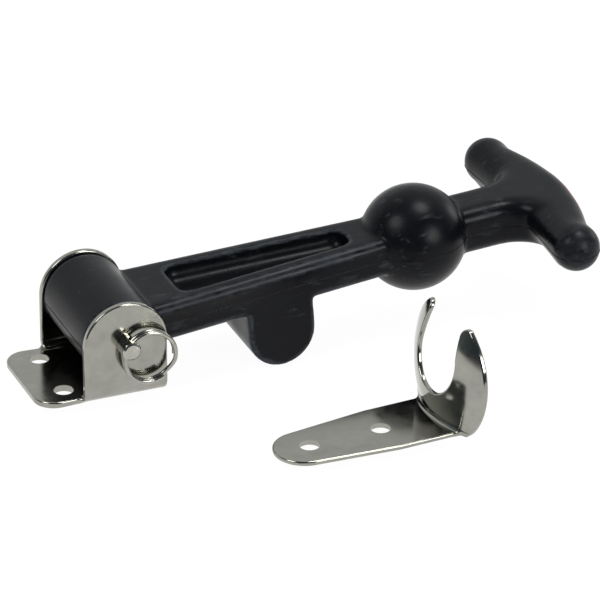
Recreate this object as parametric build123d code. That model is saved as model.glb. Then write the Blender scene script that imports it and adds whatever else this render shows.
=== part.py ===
from build123d import *
from math import asin, cos, radians, sin, sqrt, tan
import os

# Rubber T draw latch with its keeper: a moulded rubber strap with a ball and a T handle,
# pivoted on a clevis pin between the ears of a folded stainless bracket.
# Millimetres. +Z is up from the surface that the bracket and the keeper are screwed to,
# +X runs from the bracket to the handle. The origin is on that surface, under the pin's axis
# and midway between the ears.

# ---- Sheet metal, shared by the bracket and the keeper
SHEET = 1.8               # the bracket's sheet thickness
SCREW_HOLE = 5.5          # screw holes, diameter
EDGE_BREAK = 0.45         # rounding that tumbling leaves on every cut edge

# ---- Rubber strap: the hub
HUB_LENGTH = 31.6         # along the pin
HUB_RADIUS = 11.3
HUB_SIDE_GAP = 0.4        # between each end of the hub and its ear
HUB_EDGE = 0.8            # rounding of the hub's ends
REST_PITCH = 4.2          # the strap's rise from the mounting surface, degrees

# ---- Rubber strap: the flat, tapered strap
STRAP_THICKNESS = 11.3
STRAP_ROOT_HALF = 14.4    # half width, at the pin's axis
STRAP_BALL_HALF = 8.5     # half width, at the ball's centre
STRAP_EDGE = 2.8          # rounding of the long edges
POCKET_START = 20.3       # the trough in the top face, from the pin
POCKET_STOP = 19.7        # and its other end, short of the ball's centre
POCKET_START_HALF = 8.3   # half width at the pin's end
POCKET_END_HALF = 4.6     # half width at the ball's end
POCKET_DEPTH = 5.0
POCKET_CORNER = 3.6       # corners seen from above
POCKET_FLOOR = 3.4        # rounding of the floor

# ---- Rubber strap: the thumb tab under it
TAB_CENTRE = 47.1         # from the pin
TAB_RADIUS = 9.8
TAB_DROP = 12.9           # centre of its round end, below the strap's middle
TAB_EDGE = 0.8            # rounding round its sides

# ---- Rubber strap: ball, neck and T handle
BALL_CENTRE = 91.2        # from the pin
BALL_RADIUS = 14.8
NECK_HALF_WIDTH = 7.8
HANDLE_RISE = 0.25        # how far neck and handle sit above the strap's middle
HANDLE_REACH = 45.8       # ball's centre to the handle's outer face
HANDLE_THICKNESS = 13.6
HANDLE_END_CENTRE = 35.7  # ball's centre to the middles of the arms
HANDLE_END_SPREAD = 25.6  # centres of the flat bar's ends, to each side
HANDLE_END_RADIUS = 5.1
HANDLE_EDGE = 4.2
ARM_START = 12.0          # each arm turns round from here, to each side
ARM_START_RADIUS = 5.9
HANDLE_THROAT = 10.0      # finger rounding between neck and arm
BULB_RADIUS = 6.6         # the ball that ends each arm
BULB_SPREAD = 29.3        # its centre, to each side
BULB_RISE = 0.9           # and above the strap's middle

# ---- Bracket
PIN_HEIGHT = 16.7         # pin's axis above the mounting surface
EAR_RADIUS = 11.8
BEND_INSIDE = 2.2         # inside radius of the ears' bends
FLANGE_REACH = 23.8       # pin's axis to the flange's free edge
FLANGE_INSET = 1.5        # its free end's sides, in from the ears' outer faces
FLANGE_ROOT_INSET = 2.3   # and its sides where it meets the ears
FLANGE_CORNER = 6.0
SCREW_SETBACK = 15.0      # screw holes' distance from the pin's axis
SCREW_SPACING = 19.4      # and from each other

# ---- Clevis pin
PIN_RADIUS = 2.6
PIN_CLEARANCE = 0.06      # all round, in the ears and in the hub
PIN_END_PLAY = 0.15       # between the head and its ear
PIN_HEAD_RADIUS = 4.4
PIN_HEAD_HEIGHT = 2.0
PIN_BEYOND_EAR = 5.2      # how far the plain end stands out
PIN_CHAMFER = 0.6
CROSS_HOLE_RADIUS = 1.45
CROSS_HOLE_FROM_EAR = 2.4
CROSS_HOLE_ANGLE = 58.0   # the cross hole's rise from +X, degrees

# ---- Split ring
WIRE_RADIUS = 0.6
RING_RADIUS = 7.15        # to the middle of the wire
TURN_GAP = 0.04           # between the two turns
JOGGLE_ANGLE = 44.0       # arc in which the wire steps from one turn to the other
TIP_GAP = 5.0             # arc between each wire end and the step

# ---- Keeper, measured from its outer screw hole
KEEPER_SHEET = 1.35       # sheet thickness
KEEPER_X = 34.6           # where that hole lies from the origin
KEEPER_Y = -62.4
KEEPER_YAW = 4.3
KEEPER_HOLE_SPACING = 21.0
TONGUE_TIP_RADIUS = 8.6
TONGUE_TIP_REACH = 10.0   # from the hole to the tongue's end
TONGUE_HALF_WIDTH = 11.0
TONGUE_SHOULDER = 22.0    # where the tongue reaches its full width
FORK_FOOT = 36.25         # where the fork's foot starts, beyond the tongue's sides
FOOT_FILLET = 2.4         # between the tongue's sides and the fork
DISH_FRONT = 35.25        # foremost point of the fork's dished front face
DISH_HEIGHT = 12.4        # and its height
DISH_SECTION_RADIUS = 43.0  # the dish seen from the side
DISH_PLAN_RADIUS = 34.0   # and from above
DISH_SWEEP = 120.0        # degrees of dish to cut the fork from
FORK_RADIUS = 19.4        # outline of the fork, seen from the front
FORK_CENTRE_HEIGHT = 14.5
SLOT_RADIUS = 9.7         # round bottom of the slot
SLOT_CENTRE_HEIGHT = 19.0
SLOT_LEAN = 8.0           # how much each side of the slot closes towards the tips, degrees
TIP_RADIUS = 1.9
KEEPER_BEND_INSIDE = 1.1  # rounding in the angle between tongue and fork

STANDING = (Align.CENTER, Align.MIN)  # drawn up from the mounting surface
CORNER_ANGLE = 25.0       # least angle between two faces that makes their edge a corner

EAR_GAP = HUB_LENGTH + 2 * HUB_SIDE_GAP
BRACKET_WIDTH = EAR_GAP + 2 * SHEET
EAR_FACE = BRACKET_WIDTH / 2
DISH_AXIS = DISH_FRONT + DISH_PLAN_RADIUS


def across(y):
    """A sketch plane square to the pin, its drawing axes along +X and +Z."""
    return Plane(origin=(0, y, 0), x_dir=(1, 0, 0), z_dir=(0, -1, 0))


def rod(radius, y_start, y_end, x=0, z=0):
    """A round bar along Y."""
    return extrude(across(y_start) * Pos(x, z) * Circle(radius), amount=y_start - y_end)


def tumbled(body, edges):
    """Breaks the edges as tumbling does, less where there is no room for the full rounding."""
    for radius in (EDGE_BREAK, EDGE_BREAK / 2):
        try:
            return fillet(edges, radius)
        except ValueError:
            continue
    return body


def corner_edges(body):
    """The edges at which two faces meet at a corner, without those where they run on."""
    normals = {}
    for face in body.faces():
        for edge in face.edges():
            normals.setdefault(edge, []).append(face.normal_at(edge @ 0.5))
    return ShapeList(
        edge for edge, (one, other) in normals.items() if one.get_angle(other) > CORNER_ANGLE
    )


def channel_outline(width, height, corner):
    """A channel seen from its end, standing on the mounting surface."""
    outline = Rectangle(width, height, align=STANDING)
    return fillet(outline.vertices().group_by(Axis.Y)[0], corner)


def bracket_outside():
    height = PIN_HEIGHT + EAR_RADIUS + SHEET
    return channel_outline(BRACKET_WIDTH, height, BEND_INSIDE + SHEET)


def ears():
    """The sheet folded to a channel, its two sides cut to the shape of the ears."""
    outside = bracket_outside()
    height = outside.bounding_box().max.Y
    inside = Pos(0, SHEET) * channel_outline(EAR_GAP, height, BEND_INSIDE)
    channel = extrude(Plane.YZ * (outside - inside), amount=EAR_RADIUS, both=True)
    ear = Pos(0, PIN_HEIGHT) * Circle(EAR_RADIUS)
    ear += Rectangle(2 * EAR_RADIUS, PIN_HEIGHT, align=STANDING)
    pair = channel & extrude(Plane.XZ * ear, amount=BRACKET_WIDTH, both=True)
    return tumbled(pair, corner_edges(pair))


def flange():
    """The flat flange, run on under the hub between the two bends."""
    near_side = [
        (-FLANGE_REACH, FLANGE_INSET - EAR_FACE), (-EAR_RADIUS, FLANGE_ROOT_INSET - EAR_FACE),
        (0, BEND_INSIDE - EAR_GAP / 2),
    ]
    far_side = [(x, -y) for x, y in reversed(near_side)]
    plan = Polygon(*near_side, *far_side, align=None)
    plan = fillet(plan.vertices().group_by(Axis.X)[0], FLANGE_CORNER)
    plate = extrude(plan, amount=SHEET)
    return tumbled(plate, corner_edges(plate).filter_by(lambda e: (e @ 0.5).X < -1))


def flange_root():
    """The hollow corners in which the flange widens into the two bends."""
    start = -EAR_RADIUS - FLANGE_ROOT_INSET
    plan = Pos(start, 0) * Rectangle(
        FLANGE_ROOT_INSET + 2 * EDGE_BREAK, BRACKET_WIDTH, align=(Align.MIN, Align.CENTER)
    )
    for side in (-1, 1):
        plan -= Pos(start, side * EAR_FACE) * Circle(FLANGE_ROOT_INSET)
    plate = extrude(plan, amount=SHEET)
    upper_arcs = plate.edges().filter_by(GeomType.CIRCLE).group_by(Axis.Z)[-1]
    plate = tumbled(plate, upper_arcs)
    return plate & extrude(Plane.YZ * bracket_outside(), amount=FLANGE_REACH, both=True)


def bracket():
    """One sheet: a flange with two screw holes and two ears folded up at its sides."""
    body = ears() + flange() + flange_root()
    for side in (-1, 1):
        hole = Pos(-SCREW_SETBACK, side * SCREW_SPACING / 2) * Circle(SCREW_HOLE / 2)
        body -= extrude(hole, amount=SHEET)
    body -= rod(PIN_RADIUS + PIN_CLEARANCE, EAR_FACE + 1, -EAR_FACE - 1, z=PIN_HEIGHT)
    return body


def clevis_pin():
    """Turned pin: flat head at the far ear, cross hole for the ring at the near end."""
    head_seat = EAR_FACE + PIN_END_PLAY
    tip = -EAR_FACE - PIN_BEYOND_EAR
    shank = rod(PIN_RADIUS, head_seat, tip, z=PIN_HEIGHT)
    shank = chamfer(shank.edges().group_by(Axis.Y)[0], PIN_CHAMFER)
    head = rod(PIN_HEAD_RADIUS, head_seat + PIN_HEAD_HEIGHT, head_seat, z=PIN_HEIGHT)
    head = fillet(head.edges().filter_by(GeomType.CIRCLE), EDGE_BREAK)
    axis = Plane(origin=cross_hole_centre(), z_dir=cross_hole_direction())
    cross_hole = extrude(axis * Circle(CROSS_HOLE_RADIUS), amount=2 * PIN_RADIUS, both=True)
    return shank + head - cross_hole


def cross_hole_centre():
    return Vector(0, -EAR_FACE - CROSS_HOLE_FROM_EAR, PIN_HEIGHT)


def cross_hole_direction():
    rise = radians(CROSS_HOLE_ANGLE)
    return Vector(cos(rise), 0, sin(rise))


def split_ring():
    """Two turns of round wire side by side, hung through the pin's cross hole."""
    rise = radians(CROSS_HOLE_ANGLE)
    hang = Vector(sin(rise), 0, -cos(rise))
    sagitta = RING_RADIUS - sqrt(RING_RADIUS**2 - PIN_RADIUS**2)
    centre = cross_hole_centre() + hang * (RING_RADIUS - sagitta / 2)
    seat = Plane(origin=centre, x_dir=hang, z_dir=hang.cross(cross_hole_direction()))

    layer = WIRE_RADIUS + TURN_GAP / 2
    turn = 360 - JOGGLE_ANGLE - TIP_GAP
    half_step = JOGGLE_ANGLE / 2
    first = Pos(0, 0, -layer) * CenterArc((0, 0), RING_RADIUS, half_step + TIP_GAP, turn)
    second = Pos(0, 0, layer) * CenterArc((0, 0), RING_RADIUS, half_step, turn)
    step = Spline(first @ 1, second @ 0, tangents=(first % 1, second % 0))
    path = Wire([first, step, second])
    wire = sweep(Plane(origin=path @ 0, z_dir=path % 0) * Circle(WIRE_RADIUS), path=path)
    return seat * wire


def half_width(x):
    """Half the strap's width at a distance x from the pin's axis."""
    return STRAP_ROOT_HALF + (STRAP_BALL_HALF - STRAP_ROOT_HALF) * x / BALL_CENTRE


def slab(outline, thickness):
    """An outline drawn in the strap's own plane, as thick on each side of it."""
    return extrude(outline, amount=thickness / 2, both=True)


def strap_blank():
    """The tapered strap with its trough."""
    end = BALL_CENTRE
    plan = Polygon(
        (0, -half_width(0)), (end, -half_width(end)), (end, half_width(end)), (0, half_width(0)),
        align=None,
    )
    blank = slab(plan, STRAP_THICKNESS)
    long_edges = blank.edges().filter_by(lambda e: abs((e % 0).X) > 0.9)
    blank = fillet(long_edges, STRAP_EDGE)
    pocket_end = BALL_CENTRE - POCKET_STOP
    trough = Polygon(
        (POCKET_START, -POCKET_START_HALF), (pocket_end, -POCKET_END_HALF),
        (pocket_end, POCKET_END_HALF), (POCKET_START, POCKET_START_HALF),
        align=None,
    )
    trough = fillet(trough.vertices(), POCKET_CORNER)
    top = STRAP_THICKNESS / 2
    cut = extrude(Pos(0, 0, top - POCKET_DEPTH) * trough, amount=POCKET_DEPTH)
    cut = fillet(cut.edges().group_by(Axis.Z)[0], POCKET_FLOOR)
    return blank - cut


def thumb_tab():
    """The rounded tab under the strap, as wide as the strap above it."""
    sides = Rectangle(2 * TAB_RADIUS, TAB_DROP, align=(Align.CENTER, Align.MAX))
    side_view = Pos(TAB_CENTRE, 0) * (sides + Pos(0, -TAB_DROP) * Circle(TAB_RADIUS))
    block = extrude(Plane.XZ * side_view, amount=STRAP_ROOT_HALF, both=True)
    start, end = TAB_CENTRE - 2 * TAB_RADIUS, TAB_CENTRE + 2 * TAB_RADIUS
    plan = Polygon(
        (start, -half_width(start)), (end, -half_width(end)),
        (end, half_width(end)), (start, half_width(start)),
        align=None,
    )
    block &= extrude(plan, amount=-TAB_DROP - TAB_RADIUS)
    rim = corner_edges(block).filter_by(lambda e: (e @ 0.5).Z < -0.1)
    return fillet(rim, TAB_EDGE)


def handle_outline():
    """The T from above: neck, throats, two arms and a bowed outer face."""
    end_x, reach = BALL_CENTRE + HANDLE_END_CENTRE, BALL_CENTRE + HANDLE_REACH
    end_y, radius = HANDLE_END_SPREAD, HANDLE_END_RADIUS
    # The outer face is an arc that runs into both arms' ends.
    depth = reach - end_x
    bow = (depth**2 + end_y**2 - radius**2) / (2 * (depth - radius))
    lean = asin(end_y / (bow - radius))
    outer, outer_middle = [
        (reach - bow + bow * cos(angle), bow * sin(angle)) for angle in (lean, lean / 2)
    ]
    # The inner side of an arm is a straight line from the neck that touches its end.
    span = end_y - NECK_HALF_WIDTH
    touch, tangent = asin(radius / span), sqrt(span**2 - radius**2)
    corner = (end_x, NECK_HALF_WIDTH)
    inner = (end_x - tangent * sin(touch), NECK_HALF_WIDTH + tangent * cos(touch))
    half = make_face(Wire([
        Line((BALL_CENTRE, 0), (BALL_CENTRE, NECK_HALF_WIDTH)),
        Line((BALL_CENTRE, NECK_HALF_WIDTH), corner),
        Line(corner, inner),
        ThreePointArc(inner, (end_x, end_y + radius), outer),
        ThreePointArc(outer, outer_middle, (reach, 0)),
        Line((reach, 0), (BALL_CENTRE, 0)),
    ]))
    half = fillet(half.vertices().sort_by_distance(corner)[0], HANDLE_THROAT)
    return half + mirror(half, about=Plane.XZ)


def handle():
    """The T: neck and bowed bar with rounded edges, each arm run out round to a ball."""
    bar = slab(handle_outline(), HANDLE_THICKNESS)
    rim = bar.edges().filter_by(lambda e: abs((e @ 0.5).Z) > HANDLE_THICKNESS / 2 - 0.01)
    bar = fillet(rim.filter_by(lambda e: (e @ 0.5).X > BALL_CENTRE + 0.01), HANDLE_EDGE)
    body = Pos(0, 0, HANDLE_RISE) * bar
    for side in (-1, 1):
        bulb = Pos(BALL_CENTRE + HANDLE_END_CENTRE, side * BULB_SPREAD, BULB_RISE)
        body += bulb * Sphere(BULB_RADIUS)
        body += bulb * Rot(-side * 90, 0, 0) * Cone(
            ARM_START_RADIUS, BULB_RADIUS, BULB_SPREAD - ARM_START,
            align=(Align.CENTER, Align.CENTER, Align.MAX),
        )
    return body


def rubber_strap():
    """The whole moulding in one piece, bored for the pin, at its resting pitch."""
    hub = rod(HUB_RADIUS, HUB_LENGTH / 2, -HUB_LENGTH / 2)
    hub = fillet(hub.edges().filter_by(GeomType.CIRCLE), HUB_EDGE)
    body = hub + strap_blank() + thumb_tab() + handle()
    body += Pos(BALL_CENTRE, 0, 0) * Sphere(BALL_RADIUS)
    body -= rod(PIN_RADIUS + PIN_CLEARANCE, HUB_LENGTH, -HUB_LENGTH)
    return Pos(0, 0, PIN_HEIGHT) * Rot(0, -REST_PITCH, 0) * body


def keeper_section():
    """The keeper cut down its middle: tongue, bend and dished blade, one sheet thick."""
    centre = DISH_FRONT + DISH_SECTION_RADIUS
    top = FORK_CENTRE_HEIGHT + FORK_RADIUS

    def dish_x(height, radius):
        return centre - sqrt(radius**2 - (height - DISH_HEIGHT) ** 2)

    front, back = DISH_SECTION_RADIUS, DISH_SECTION_RADIUS - KEEPER_SHEET
    foot, heel = (dish_x(KEEPER_SHEET, front), KEEPER_SHEET), (dish_x(0, back), 0)
    front_top, back_top = (dish_x(top, front), top), (dish_x(top, back), top)
    section = make_face(Wire([
        Line((TONGUE_SHOULDER, 0), heel),
        ThreePointArc(heel, (centre - back, DISH_HEIGHT), back_top),
        Line(back_top, front_top),
        ThreePointArc(front_top, (DISH_FRONT, DISH_HEIGHT), foot),
        Line(foot, (TONGUE_SHOULDER, KEEPER_SHEET)),
        Line((TONGUE_SHOULDER, KEEPER_SHEET), (TONGUE_SHOULDER, 0)),
    ]))
    section = fillet(section.vertices().sort_by_distance(foot)[0], KEEPER_BEND_INSIDE)
    return fillet(
        section.vertices().sort_by_distance(heel)[0], KEEPER_BEND_INSIDE + KEEPER_SHEET
    )


def around_dish(start):
    """A disc about the dish's upright axis, from above, that reaches back to start."""
    return Pos(DISH_AXIS, 0) * Circle(DISH_AXIS - start)


def keeper_outline():
    """The keeper from above: the tongue, and the round front of the fork it runs into."""
    tongue = make_hull(
        (Pos(TONGUE_TIP_RADIUS - TONGUE_TIP_REACH, 0) * Circle(TONGUE_TIP_RADIUS)).edges()
        + (Pos(TONGUE_SHOULDER, 0) * Circle(TONGUE_HALF_WIDTH)).edges()
    )
    tongue += Pos(TONGUE_SHOULDER, 0) * Rectangle(
        DISH_AXIS - TONGUE_SHOULDER, 2 * TONGUE_HALF_WIDTH, align=(Align.MIN, Align.CENTER)
    )
    outline = tongue + around_dish(FORK_FOOT)
    inner_corners = outline.vertices().filter_by(
        lambda v: v.X > TONGUE_SHOULDER + 1 and abs(abs(v.Y) - TONGUE_HALF_WIDTH) < 0.01
    )
    return fillet(inner_corners, FOOT_FILLET)


def fork_outline():
    """The fork from the front: part of a disc, open at the top for the latch's neck."""
    disc = Pos(0, FORK_CENTRE_HEIGHT) * Circle(FORK_RADIUS)
    rise = FORK_CENTRE_HEIGHT + FORK_RADIUS
    top_half = SLOT_RADIUS - (rise - SLOT_CENTRE_HEIGHT) * tan(radians(SLOT_LEAN))
    slot = Pos(0, SLOT_CENTRE_HEIGHT) * Circle(SLOT_RADIUS)
    slot += Polygon(
        (-SLOT_RADIUS, SLOT_CENTRE_HEIGHT), (SLOT_RADIUS, SLOT_CENTRE_HEIGHT),
        (top_half, rise), (-top_half, rise),
        align=None,
    )
    upper = Rectangle(2 * FORK_RADIUS, rise, align=STANDING)
    fork = (disc & upper) - slot
    return fillet(fork.vertices().group_by(Axis.Y)[-1], TIP_RADIUS)


def keeper():
    """One sheet: a tongue with two screw holes and a dished fork that the ball sits behind."""
    # The section turned about an upright axis gives the dish, its curved bend and a flat collar.
    turning_axis = Axis((DISH_AXIS, 0, 0), (0, 0, 1))
    section = (Plane.XZ * keeper_section()).rotate(turning_axis, DISH_SWEEP / 2)
    dish = revolve(section, turning_axis, -DISH_SWEEP)
    dish &= extrude(Plane.YZ * fork_outline(), amount=DISH_AXIS)
    beside_tongue = around_dish(0) - keeper_outline()
    body = dish - extrude(beside_tongue, amount=KEEPER_SHEET + KEEPER_BEND_INSIDE)
    flat = keeper_outline() - around_dish(TONGUE_SHOULDER + KEEPER_BEND_INSIDE)
    body += extrude(flat, amount=KEEPER_SHEET)
    body = tumbled(body, corner_edges(body))
    for x in (0, KEEPER_HOLE_SPACING):
        body -= extrude(Pos(x, 0) * Circle(SCREW_HOLE / 2), amount=KEEPER_SHEET)
    return Pos(KEEPER_X, KEEPER_Y, 0) * Rot(0, 0, KEEPER_YAW) * body


NODES = {
    "bracket": bracket,
    "clevis_pin": clevis_pin,
    "split_ring": split_ring,
    "rubber_strap": rubber_strap,
    "keeper": keeper,
}

os.makedirs("parts", exist_ok=True)
for name, make in NODES.items():
    export_step(Part() + make(), f"parts/{name}.step")
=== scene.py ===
"""Finishes, stage and camera for a rubber T draw latch and its keeper."""

import math

import bmesh
import bpy
from bpy.props import FloatProperty, FloatVectorProperty, IntProperty, PointerProperty
from mathutils import Matrix, Vector


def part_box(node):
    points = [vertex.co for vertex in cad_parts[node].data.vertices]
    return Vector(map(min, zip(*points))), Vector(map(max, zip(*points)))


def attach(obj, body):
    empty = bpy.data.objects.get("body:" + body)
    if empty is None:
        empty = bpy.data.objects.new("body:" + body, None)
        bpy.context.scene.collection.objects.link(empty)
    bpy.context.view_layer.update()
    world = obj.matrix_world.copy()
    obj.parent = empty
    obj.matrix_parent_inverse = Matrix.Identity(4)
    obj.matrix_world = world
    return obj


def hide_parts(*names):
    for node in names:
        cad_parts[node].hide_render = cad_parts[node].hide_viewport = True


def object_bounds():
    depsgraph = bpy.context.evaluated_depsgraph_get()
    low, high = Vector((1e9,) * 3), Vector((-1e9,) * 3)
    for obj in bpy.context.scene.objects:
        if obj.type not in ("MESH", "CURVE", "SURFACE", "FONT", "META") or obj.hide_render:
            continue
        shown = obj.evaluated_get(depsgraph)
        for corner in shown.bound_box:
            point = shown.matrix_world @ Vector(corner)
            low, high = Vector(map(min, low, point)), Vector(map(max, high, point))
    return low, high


bl_info = {
    "name": "Rubber T Draw Latch",
    "version": (1, 0, 0),
    "blender": (4, 5, 0),
    "location": "View3D > Sidebar > Latch",
    "description": "Finishes and stages a rubber T draw latch and its keeper",
    "category": "Object",
}

MM = 0.001
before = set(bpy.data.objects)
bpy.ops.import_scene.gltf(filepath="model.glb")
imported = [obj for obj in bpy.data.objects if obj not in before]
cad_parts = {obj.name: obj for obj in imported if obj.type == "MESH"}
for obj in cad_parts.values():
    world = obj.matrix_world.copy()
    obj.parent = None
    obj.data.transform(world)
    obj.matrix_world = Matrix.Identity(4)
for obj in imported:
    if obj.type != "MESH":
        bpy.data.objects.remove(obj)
CAD_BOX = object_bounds()

# The strap's own frame has the pin's axis as y, and x along the strap's middle plane.
PIN_HEIGHT = sum(corner.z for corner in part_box("clevis_pin")) / 2
STRAP_RISE = math.radians(4.2)
STRAP_PLACE = Matrix.Translation((0, 0, PIN_HEIGHT)) @ Matrix.Rotation(-STRAP_RISE, 4, "Y")
TO_STRAP = STRAP_PLACE.inverted()

# Places on the strap, in that frame.
BORE_RADIUS = 2.7 * MM
BORE_MARGIN = 0.5 * MM       # skin this near the bore belongs to it
HUB_BACK = -3.7 * MM         # the line of flash crosses the hub behind here
HUB_FLAT = 15.4 * MM         # and ends this far to each side, at the hub's flat ends
HUB_FRONT = 12 * MM          # it starts again where the strap leaves the hub
HANDLE_START = 116 * MM      # the neck widens into the handle from here
ARM_START = 9 * MM           # each arm is blended from here, to each side
ARM_END = 22 * MM            # and to here
ARM_GROWTH = 6 * MM          # both move out by this while it is blended
OUTER_SIDE = 121 * MM        # the handle's outer side lies beyond this
FIELD_HALF_LENGTH = 28 * MM  # the red oval on the outer face
FIELD_HALF_HEIGHT = 5.8 * MM
FIELD_RISE = 0.232 * MM      # its middle, above the strap's middle

ONE_POINT = 0.001 * MM       # points nearer than this are one
SOFTENING_ROUNDS = 5         # rounds of smoothing that soften the moulding's edges
# Rounded edges take a paler grey: partly real rubbing, partly a painted sheen.
WEAR_AND_SHEEN_START = 0.042           # mean bend between faces where rubbing and painted sheen start, radians
WEAR_AND_SHEEN_SPAN = 0.045            # and how much more bend rubs an edge fully and gives it its full painted sheen
NOISE_RANGE = {"From Min": 0.3, "From Max": 0.7}  # where nearly all of a noise's values lie

FLOOR_SIZE = 6.0             # metres
FLOOR_GAP = 0.2 * MM         # below the latch's lowest point
# Each lamp's name, its direction from the aim, its distance and size in metres, and its watts.
LAMPS = (
    ("key_overhead", (0.27, -0.04, 0.96), 0.9, 0.34, 3.2),
    ("fill_left", (-0.68, -0.13, 0.73), 1.0, 0.44, 3.2),
    ("front_right", (0.39, -0.83, 0.36), 1.2, 0.50, 6.0),
    ("side_right", (0.93, 0.25, 0.25), 0.9, 0.30, 0.6),
)


def linear(hex_colour):
    """An sRGB hex colour as linear red, green, blue and alpha."""
    parts = [int(hex_colour[i : i + 2], 16) / 255 for i in (1, 3, 5)]
    return [p / 12.92 if p <= 0.04045 else ((p + 0.055) / 1.055) ** 2.4 for p in parts] + [1]


def add(owner, kind, settings=None, **links):
    """Adds a node. Settings are properties, socket values or ramp stops, links (node, output)."""
    tree = owner.node_tree
    node = tree.nodes.new("ShaderNode" + kind)
    for name, value in (settings or {}).items():
        if name == "stops":
            elements = node.color_ramp.elements
            elements[0].position, elements[1].position = value[0][0], value[-1][0]
            elements[0].color, elements[1].color = linear(value[0][1]), linear(value[-1][1])
            for place, colour in value[1:-1]:
                elements.new(place).color = linear(colour)
        elif isinstance(name, str) and hasattr(node, name):
            setattr(node, name, value)
        else:
            node.inputs[name].default_value = value
    for name, (source, output) in links.items():
        socket = int(name[1:]) if name[1:].isdigit() else name.replace("_", " ")
        tree.links.new(source.outputs[output], node.inputs[socket])
    return node


def start_material(name):
    """An empty node material and its texture coordinates."""
    material = bpy.data.materials.new(name)
    material.use_nodes = True
    material.node_tree.nodes.clear()
    return material, add(material, "TexCoord")


def dress(piece, material):
    """Gives a piece one material."""
    piece.data.materials.clear()
    piece.data.materials.append(material)


class LatchFinish(bpy.types.PropertyGroup):
    """Finishes of the latch."""

    skin_size: FloatProperty(
        name="Skin size", description="Size of the moulding's faces",
        default=0.47 * MM, min=0.2 * MM, max=2 * MM, unit="LENGTH",
    )
    blend_rounds: IntProperty(
        name="Blend rounds", description="How softly the handle's arms run into its bar",
        default=40, min=0, max=100,
    )
    flash_radius: FloatProperty(
        name="Flash radius", description="Radius of the bead left at the mould's parting line",
        default=0.14 * MM, min=0.02 * MM, max=1 * MM, unit="LENGTH",
    )
    rubber_roughness: FloatProperty(
        name="Rubber roughness", description="Base roughness of the moulded rubber",
        default=0.27, min=0.05, max=1, subtype="FACTOR",
    )
    rubber_colour: FloatVectorProperty(
        name="Rubber colour", description="Colour of the clean rubber",
        default=linear("#0C0D11")[:3], min=0, max=1, size=3, subtype="COLOR",
    )
    print_colour: FloatVectorProperty(
        name="Print colour", description="Colour of the field on the handle's outer face",
        default=linear("#A0142B")[:3], min=0, max=1, size=3, subtype="COLOR",
    )
    steel_colour: FloatVectorProperty(
        name="Steel colour", description="Reflection colour of the stainless steel",
        default=linear("#9E9D95")[:3], min=0, max=1, size=3, subtype="COLOR",
    )
    steel_roughness: FloatProperty(
        name="Steel roughness", description="Base roughness of the tumbled sheet",
        default=0.14, min=0.02, max=1, subtype="FACTOR",
    )


class LatchStage(bpy.types.PropertyGroup):
    """The studio's camera."""

    azimuth: FloatProperty(
        name="Azimuth", description="Camera's turn about the upright axis",
        default=math.radians(-22.271), subtype="ANGLE",
    )
    elevation: FloatProperty(
        name="Elevation", description="Camera's height above the horizon",
        default=math.radians(27.11), subtype="ANGLE",
    )
    distance: FloatProperty(
        name="Distance", description="Camera to the middle of the picture",
        default=1.400, min=0.1, unit="LENGTH",
    )
    lens: FloatProperty(
        name="Lens", description="Focal length", default=310.4, min=10, unit="CAMERA",
    )
    aim: FloatVectorProperty(
        name="Aim", description="The point in the middle of the picture",
        default=(0.05247, -0.01212, 0.01694), size=3, subtype="XYZ", unit="LENGTH",
    )


def joined_copy(node):
    """A frame node's shape with its loose triangles joined."""
    shape = bmesh.new()
    shape.from_mesh(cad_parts[node].data)
    bmesh.ops.remove_doubles(shape, verts=shape.verts, dist=ONE_POINT)
    mesh = bpy.data.meshes.new(node)
    shape.to_mesh(mesh)
    shape.free()
    return mesh


def new_piece(name, mesh):
    """A piece at the origin, in the scene."""
    piece = bpy.data.objects.new(name, mesh)
    bpy.context.scene.collection.objects.link(piece)
    return piece


def applied(piece):
    """The piece's mesh with its modifiers applied. The piece itself goes."""
    graph = bpy.context.evaluated_depsgraph_get()
    mesh = bpy.data.meshes.new_from_object(piece.evaluated_get(graph))
    bpy.data.objects.remove(piece)
    return mesh


def relax(shape, verts):
    """One round of smoothing."""
    bmesh.ops.smooth_vert(
        shape, verts=verts, factor=0.5, use_axis_x=True, use_axis_y=True, use_axis_z=True
    )


def moulded_skin(finish):
    """The strap as one even skin, soft at its edges, its arms blended into the bar."""
    draft = new_piece("draft", joined_copy("rubber_strap"))
    skin = draft.modifiers.new("skin", "REMESH")
    skin.mode, skin.voxel_size, skin.use_smooth_shade = "VOXEL", finish.skin_size, True
    mesh = applied(draft)
    shape = bmesh.new()
    shape.from_mesh(mesh)
    places = {vert: TO_STRAP @ vert.co for vert in shape.verts}
    outside = []
    for vert, at in places.items():
        if at.xz.length >= BORE_RADIUS + BORE_MARGIN:
            outside.append(vert)
            continue
        # The bore is made round again, so that the pin still fits it.
        at.xz = at.xz.normalized() * BORE_RADIUS
        vert.co = STRAP_PLACE @ at
    for _ in range(SOFTENING_ROUNDS):
        relax(shape, outside)
    handle = [(vert, abs(at.y)) for vert, at in places.items() if at.x > HANDLE_START]
    for step in range(finish.blend_rounds):
        # The band grows round by round, so its border leaves no line.
        grown = ARM_GROWTH * step / finish.blend_rounds
        relax(shape, [v for v, y in handle if ARM_START - grown < y < ARM_END + grown])
    shape.to_mesh(mesh)
    shape.free()
    return mesh


def mark_worn_and_sheen_edges(mesh):
    """Stores how far each point stands out on a rounded edge, where handling rubs first and sheen
    is painted.
    """
    shape = bmesh.new()
    shape.from_mesh(mesh)
    wear_and_sheen_layer = shape.verts.layers.float.new("edge_wear")
    bends = {
        v: sum(e.calc_face_angle_signed(0) for e in v.link_edges) / len(v.link_edges)
        for v in shape.verts
    }
    for v in shape.verts:
        around = [bends[e.other_vert(v)] for e in v.link_edges]
        bend = (bends[v] + sum(around)) / (1 + len(around))
        v[wear_and_sheen_layer] = min(max((bend - WEAR_AND_SHEEN_START) / WEAR_AND_SHEEN_SPAN, 0), 1)
    shape.to_mesh(mesh)
    shape.free()


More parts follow.
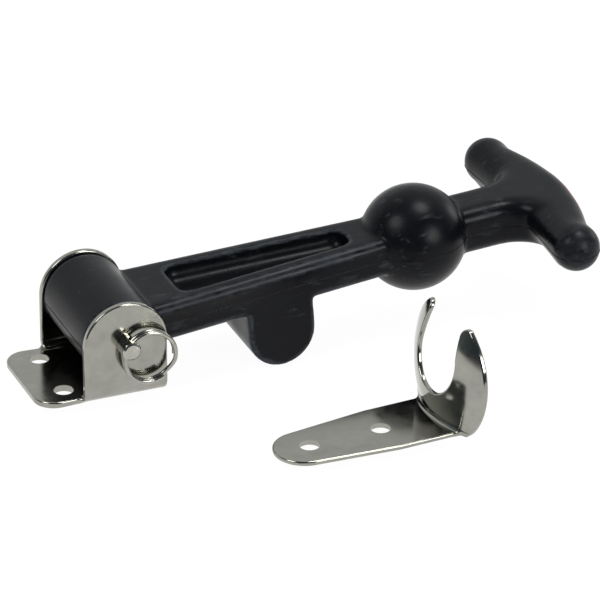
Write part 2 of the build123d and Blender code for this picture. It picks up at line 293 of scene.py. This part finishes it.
def parting_line(skin, radius):
    """A fine bead round the skin where the mould's halves met."""
    shape = bmesh.new()
    shape.from_mesh(skin)
    bmesh.ops.bisect_plane(
        shape, geom=shape.verts[:] + shape.edges[:] + shape.faces[:], dist=ONE_POINT,
        plane_co=STRAP_PLACE.translation, plane_no=STRAP_PLACE.to_3x3() @ Vector((0, 0, 1)),
        clear_inner=True, clear_outer=True,
    )
    # The hub's flat ends and its bore are trimmed clean.
    trimmed = []
    for vert in shape.verts:
        at = TO_STRAP @ vert.co
        if at.x < HUB_FRONT and (at.x > HUB_BACK or abs(at.y) > HUB_FLAT):
            trimmed.append(vert)
    bmesh.ops.delete(shape, geom=trimmed, context="VERTS")
    mesh = bpy.data.meshes.new("line")
    shape.to_mesh(mesh)
    shape.free()
    line = new_piece("line", mesh)
    bpy.ops.object.select_all(action="DESELECT")
    bpy.context.view_layer.objects.active = line
    line.select_set(True)
    bpy.ops.object.convert(target="CURVE")
    line.data.bevel_depth, line.data.bevel_resolution = radius, 1
    line.data.use_fill_caps = True
    mesh = applied(line)
    mesh.shade_smooth()
    return mesh


def rubber_wear_and_sheen(material, strap):
    """From 0 to 1: scuffs in patches, and rounded edges, rubbed and given a painted sheen."""
    # Noise of 1.6 mm leaves streaks about 0.6 mm wide, drawn out to four times that along the
    # strap. They show as scuffs only within patches of wear about 13 mm wide.
    lengthwise = add(material, "Mapping", {"Scale": (0.25, 1, 1)}, Vector=(strap, "Vector"))
    streaks = add(
        material, "TexNoise",
        {"Scale": 1 / (1.6 * MM), "Detail": 6, "Roughness": 0.65, "Distortion": 0.6},
        Vector=(lengthwise, "Vector"),
    )
    patches = add(
        material, "TexNoise", {"Scale": 1 / (13 * MM), "Detail": 3}, Vector=(strap, "Vector")
    )
    streak = add(
        material, "MapRange", {"From Min": 0.55, "From Max": 0.72}, Value=(streaks, "Fac")
    )
    patch = add(
        material, "MapRange", {"From Min": 0.45, "From Max": 0.62}, Value=(patches, "Fac")
    )
    scuff = add(
        material, "Math", {"operation": "MULTIPLY"}, i0=(streak, "Result"), i1=(patch, "Result")
    )
    # Rounded edges are rubbed dull grey, unevenly; that paler grey is also a painted sheen.
    edges = add(material, "Attribute", {"attribute_name": "edge_wear"})
    uneven = add(
        material, "MapRange", {"From Min": 0.35, "From Max": 0.60}, Value=(streaks, "Fac")
    )
    rubbed_and_sheen = add(
        material, "Math", {"operation": "MULTIPLY"}, i0=(edges, "Fac"), i1=(uneven, "Result")
    )
    return add(
        material, "Math", {"operation": "MAXIMUM"}, i0=(scuff, "Value"), i1=(rubbed_and_sheen, "Value")
    )


def red_field(material, coords, strap):
    """1 in the oval on the handle's outer face, and 0 elsewhere."""
    oval = add(
        material, "Mapping",
        {"Location": (0, 0, -FIELD_RISE / FIELD_HALF_HEIGHT),
         "Scale": (0, 1 / FIELD_HALF_LENGTH, 1 / FIELD_HALF_HEIGHT)},
        Vector=(strap, "Vector"),
    )
    out = add(material, "VectorMath", {"operation": "LENGTH"}, i0=(oval, "Vector"))
    inside = add(material, "Math", {"operation": "LESS_THAN", 1: 1.0}, i0=(out, "Value"))
    at = add(material, "SeparateXYZ", Vector=(strap, "Vector"))
    facing = add(material, "SeparateXYZ", Vector=(coords, "Normal"))
    outer = add(material, "Math", {"operation": "GREATER_THAN", 1: OUTER_SIDE}, i0=(at, "X"))
    away = add(material, "Math", {"operation": "GREATER_THAN", 1: 0.45}, i0=(facing, "X"))
    side = add(
        material, "Math", {"operation": "MULTIPLY"}, i0=(outer, "Value"), i1=(away, "Value")
    )
    return add(
        material, "Math", {"operation": "MULTIPLY"}, i0=(inside, "Value"), i1=(side, "Value")
    )


def moulded_relief(material, strap):
    """The mould's waves, 3 mm long, and its grain, drawn at 0.5 mm so that it shows."""
    waves = add(
        material, "TexNoise", {"Scale": 1 / (3.2 * MM), "Detail": 3}, Vector=(strap, "Vector")
    )
    grain = add(
        material, "TexNoise", {"Scale": 1 / (0.5 * MM), "Detail": 4, "Roughness": 0.6},
        Vector=(strap, "Vector"),
    )
    wavy = add(
        material, "Bump", {"Strength": 0.35, "Distance": 0.06 * MM}, Height=(waves, "Fac")
    )
    return add(
        material, "Bump", {"Strength": 0.25, "Distance": 0.03 * MM},
        Height=(grain, "Fac"), Normal=(wavy, "Normal"),
    )


def epdm_rubber(finish):
    """Black EPDM with scuffs, a painted sheen on its edges, and the red field on the handle's
    outer face.
    """
    # Compression-moulded EPDM is near black with a satin skin. The mould's own waviness breaks
    # its highlights up, handling leaves pale dusty scuffs, and printing sits level with it.
    material, coords = start_material("moulded_epdm_rubber")
    strap = add(
        material, "Mapping",
        {"vector_type": "TEXTURE", "Location": (0, 0, PIN_HEIGHT),
         "Rotation": (0, -STRAP_RISE, 0)},
        Vector=(coords, "Object"),
    )
    # Cloudy patches about 9 mm wide, in colour and gloss.
    cloud = add(
        material, "TexNoise", {"Scale": 1 / (9 * MM), "Detail": 5}, Vector=(strap, "Vector")
    )
    clean = [*finish.rubber_colour, 1]
    dark = [0.75 * c for c in finish.rubber_colour] + [1]
    black = add(
        material, "Mix", {"data_type": "RGBA", "A": dark, "B": clean}, Factor=(cloud, "Fac")
    )
    gloss = add(
        material, "MapRange",
        {**NOISE_RANGE, "To Min": finish.rubber_roughness - 0.05,
         "To Max": finish.rubber_roughness + 0.10},
        Value=(cloud, "Fac"),
    )
    # Scuffed rubber is dusty grey and duller; on rounded edges that grey is rubbing plus a painted
    # sheen.
    worn_and_sheen = rubber_wear_and_sheen(material, strap)
    dusty_and_sheen = add(
        material, "Mix", {"data_type": "RGBA", "B": linear("#33373D")},
        Factor=(worn_and_sheen, "Value"), A=(black, "Result"),
    )
    rough = add(
        material, "Math", {"operation": "MULTIPLY_ADD", 1: 0.12},
        i0=(worn_and_sheen, "Value"), i2=(gloss, "Result"),
    )
    colour = add(
        material, "Mix", {"data_type": "RGBA", "B": [*finish.print_colour, 1]},
        Factor=(red_field(material, coords, strap), "Value"), A=(dusty_and_sheen, "Result"),
    )
    shader = add(
        material, "BsdfPrincipled", {"IOR": 1.52, "Specular IOR Level": 0.12},
        Base_Color=(colour, "Result"), Roughness=(rough, "Value"),
        Normal=(moulded_relief(material, strap), "Normal"),
    )
    add(material, "OutputMaterial", Surface=(shader, "BSDF"))
    return material


def stainless(name, finish, roughness, dent_mm, shine=1.0, turned=False):
    """Stainless steel finished bright: a soft mirror, mottled, with dents dent_mm wide."""
    material, coords = start_material(name)
    # Patches about 5 mm wide are a little duller or brighter, as a barrel's stones leave them.
    cloud = add(
        material, "TexNoise", {"Scale": 1 / (5 * MM), "Detail": 8, "Roughness": 0.62},
        Vector=(coords, "Object"),
    )
    mottle = add(material, "MapRange", NOISE_RANGE, Value=(cloud, "Fac"))
    dull, pale = [
        [min(shade * shine * c, 1) for c in finish.steel_colour] for shade in (0.86, 1.09)
    ]
    colour = add(
        material, "Mix", {"data_type": "RGBA", "A": [*dull, 1], "B": [*pale, 1]},
        Factor=(mottle, "Result"),
    )
    rough = add(
        material, "MapRange",
        {**NOISE_RANGE, "To Min": roughness * 0.7, "To Max": roughness * 1.4},
        Value=(cloud, "Fac"),
    )
    dents = add(
        material, "TexNoise", {"Scale": 1 / (dent_mm * MM), "Detail": 3},
        Vector=(coords, "Object"),
    )
    bump = add(
        material, "Bump", {"Strength": 0.08, "Distance": 0.05 * MM}, Height=(dents, "Fac")
    )
    if turned:
        # The lathe's rings round the pin's axis, drawn 0.9 mm apart so that they show. A wave's
        # scale is pi / 10 over its spacing.
        centred = add(
            material, "Mapping", {"Location": (0, 0, -PIN_HEIGHT)}, Vector=(coords, "Object")
        )
        rings = add(
            material, "TexWave",
            {"wave_type": "RINGS", "rings_direction": "Y", "Scale": math.pi / 10 / (0.9 * MM)},
            Vector=(centred, "Vector"),
        )
        bump = add(
            material, "Bump", {"Strength": 0.4, "Distance": 0.12 * MM},
            Height=(rings, "Fac"), Normal=(bump, "Normal"),
        )
    shader = add(
        material, "BsdfPrincipled", {"Metallic": 1},
        Base_Color=(colour, "Result"), Roughness=(rough, "Result"), Normal=(bump, "Normal"),
    )
    add(material, "OutputMaterial", Surface=(shader, "BSDF"))
    return material


class LATCH_OT_strap(bpy.types.Operator):
    """The rubber moulding and the bead at its parting line"""

    bl_idname = "latch.strap"
    bl_label = "Rubber strap"

    def execute(self, context):
        finish = context.scene.latch_finish
        rubber = epdm_rubber(finish)
        strap = new_piece("strap_moulding", moulded_skin(finish))
        # Rounded edges are marked for rubbing and for a painted sheen.
        mark_worn_and_sheen_edges(strap.data)
        bead = new_piece("parting_bead", parting_line(strap.data, finish.flash_radius))
        strap.data.shade_smooth()
        for piece in (strap, bead):
            dress(piece, rubber)
            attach(piece, "strap")
        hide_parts("rubber_strap")
        return {"FINISHED"}


class LATCH_OT_sheet_steel(bpy.types.Operator):
    """Bright stainless sheet on the bracket and the keeper"""

    bl_idname = "latch.sheet_steel"
    bl_label = "Bracket and keeper"

    def execute(self, context):
        finish = context.scene.latch_finish
        # Tumbling leaves the bracket a soft mirror with shallow dents about 5 mm wide.
        tumbled = stainless(
            "tumbled_stainless_sheet", finish, roughness=finish.steel_roughness, dent_mm=5
        )
        dress(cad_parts["bracket"], tumbled)
        # The keeper is burnished as it is pressed, so it mirrors a little more sharply.
        burnished = stainless("burnished_stainless_sheet", finish, roughness=0.12, dent_mm=6)
        dress(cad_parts["keeper"], burnished)
        return {"FINISHED"}


class LATCH_OT_pin_and_ring(bpy.types.Operator):
    """Turned steel on the clevis pin and bright wire on the split ring"""

    bl_idname = "latch.pin_and_ring"
    bl_label = "Clevis pin and split ring"

    def execute(self, context):
        finish = context.scene.latch_finish
        # Turning leaves fresh, pale metal with the lathe's rings on the pin's end.
        turned = stainless(
            "turned_stainless_bar", finish, roughness=0.16, dent_mm=1, shine=1.3, turned=True
        )
        dress(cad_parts["clevis_pin"], turned)
        # Drawing through a die leaves the wire smooth and slightly brighter than the sheet.
        drawn = stainless("drawn_stainless_wire", finish, roughness=0.18, dent_mm=2, shine=1.1)
        dress(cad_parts["split_ring"], drawn)
        return {"FINISHED"}


class LATCH_OT_stage(bpy.types.Operator):
    """White floor, soft lamps and the camera"""

    bl_idname = "latch.stage"
    bl_label = "Stage"

    def execute(self, context):
        scene, stage = context.scene, context.scene.latch_stage
        self.floor(stage)
        self.world(scene, stage)
        for name, towards, distance, size, watts in LAMPS:
            self.lamp(name, Vector(stage.aim), Vector(towards), distance, size, watts)
        self.camera(scene, stage)
        scene.view_settings.view_transform = "Standard"
        return {"FINISHED"}

    def floor(self, stage):
        """White paper just below the latch."""
        low = CAD_BOX[0].z - FLOOR_GAP
        bpy.ops.mesh.primitive_plane_add(size=FLOOR_SIZE, location=(0, 0, low))
        floor = bpy.context.object
        floor.name = "floor"
        material, coords = start_material("white_paper")
        path = add(material, "LightPath")
        paper = add(material, "BsdfDiffuse", {"Color": linear("#FFFFFF")})
        # The camera sees the white world through the paper, and only a faint shadow on it, so
        # that the tab isn't cut off where the strap swings below the mounting plane.
        clear = add(material, "BsdfTransparent", {"Color": linear("#FBFBFB")})
        thin = add(material, "BsdfDiffuse", {"Color": linear("#464646")})
        veil = add(material, "AddShader", i0=(clear, "BSDF"), i1=(thin, "BSDF"))
        # Reflections see the paper end 0.16 to 0.26 m in front, where the dim room begins.
        turned = add(
            material, "Mapping", {"Rotation": (0, 0, -stage.azimuth)}, Vector=(coords, "Object")
        )
        ahead = add(material, "SeparateXYZ", Vector=(turned, "Vector"))
        paper_edge = add(
            material, "MapRange", {"From Min": -0.26, "From Max": -0.16, "To Min": 0.07},
            Value=(ahead, "Y"),
        )
        mirrored = add(material, "Emission", Strength=(paper_edge, "Result"))
        shiny = add(
            material, "MixShader", Fac=(path, "Is Glossy Ray"), i1=(paper, "BSDF"),
            i2=(mirrored, "Emission"),
        )
        mixed = add(
            material, "MixShader", Fac=(path, "Is Camera Ray"), i1=(shiny, "Shader"),
            i2=(veil, "Shader"),
        )
        add(material, "OutputMaterial", Surface=(mixed, "Shader"))
        dress(floor, material)

    def world(self, scene, stage):
        """White to the camera. Reflections see a pale backdrop and a dim room in front."""
        world = bpy.data.worlds.new("studio")
        scene.world = world
        world.use_nodes = True
        world.node_tree.nodes.clear()
        path = add(world, "LightPath")
        way = add(world, "TexCoord")
        ahead = add(
            world, "VectorMath",
            {"operation": "DOT_PRODUCT",
             1: (-math.sin(stage.azimuth), math.cos(stage.azimuth), 0)},
            i0=(way, "Generated"),
        )
        depth = add(world, "MapRange", {"From Min": -1.0, "From Max": 1.0}, Value=(ahead, "Value"))
        room = add(
            world, "ValToRGB",
            {"stops": [(0.30, "#3C454B"), (0.52, "#6E777B"), (0.72, "#DEE1E1")]},
            Fac=(depth, "Result"),
        )
        seen = add(world, "Background", {"Strength": 1.0}, Color=(room, "Color"))
        soft = add(world, "Background", {"Color": linear("#FFFFFF"), "Strength": 0.35})
        white = add(world, "Background", {"Color": linear("#FFFFFF"), "Strength": 1.0})
        shiny = add(
            world, "MixShader", Fac=(path, "Is Glossy Ray"), i1=(soft, "Background"),
            i2=(seen, "Background"),
        )
        mixed = add(
            world, "MixShader", Fac=(path, "Is Camera Ray"), i1=(shiny, "Shader"),
            i2=(white, "Background"),
        )
        add(world, "OutputWorld", Surface=(mixed, "Shader"))

    def lamp(self, name, aim, towards, distance, size, watts):
        """A round lamp that points at the aim from the given direction."""
        data = bpy.data.lights.new(name, "AREA")
        data.shape, data.size, data.energy = "DISK", size, watts
        lamp = bpy.data.objects.new(name, data)
        bpy.context.scene.collection.objects.link(lamp)
        lamp.location = aim + towards.normalized() * distance
        lamp.rotation_euler = towards.to_track_quat("Z", "Y").to_euler()

    def camera(self, scene, stage):
        """The camera, aimed from its azimuth and elevation."""
        data = bpy.data.cameras.new("camera")
        data.lens, data.sensor_width = stage.lens, 36
        data.clip_start, data.clip_end = 0.05, 20
        camera = bpy.data.objects.new("camera", data)
        scene.collection.objects.link(camera)
        a, e = stage.azimuth, stage.elevation
        back = Vector((math.sin(a) * math.cos(e), -math.cos(a) * math.cos(e), math.sin(e)))
        camera.location = Vector(stage.aim) + back * stage.distance
        camera.rotation_euler = (math.pi / 2 - e, 0, a)
        scene.camera = camera


class LATCH_PT_panel(bpy.types.Panel):
    """The latch's steps in order"""

    bl_idname = "LATCH_PT_panel"
    bl_label = "Draw latch"
    bl_space_type = "VIEW_3D"
    bl_region_type = "UI"
    bl_category = "Latch"

    def draw(self, context):
        for step in STEPS:
            self.layout.operator(step.bl_idname)
        for group in (context.scene.latch_finish, context.scene.latch_stage):
            for name in group.bl_rna.properties.keys():
                if name not in ("rna_type", "name"):
                    self.layout.prop(group, name)


GROUPS = (LatchFinish, LatchStage)
STEPS = (LATCH_OT_strap, LATCH_OT_sheet_steel, LATCH_OT_pin_and_ring, LATCH_OT_stage)


def register():
    for cls in (*GROUPS, *STEPS, LATCH_PT_panel):
        bpy.utils.register_class(cls)
    bpy.types.Scene.latch_finish = PointerProperty(type=LatchFinish)
    bpy.types.Scene.latch_stage = PointerProperty(type=LatchStage)


def unregister():
    del bpy.types.Scene.latch_finish
    del bpy.types.Scene.latch_stage
    for cls in reversed((*GROUPS, *STEPS, LATCH_PT_panel)):
        bpy.utils.unregister_class(cls)


def main():
    """Builds the looks in order."""
    register()
    for step in STEPS:
        group, name = step.bl_idname.split(".")
        getattr(getattr(bpy.ops, group), name)()


if __name__ == "__main__":
    main()
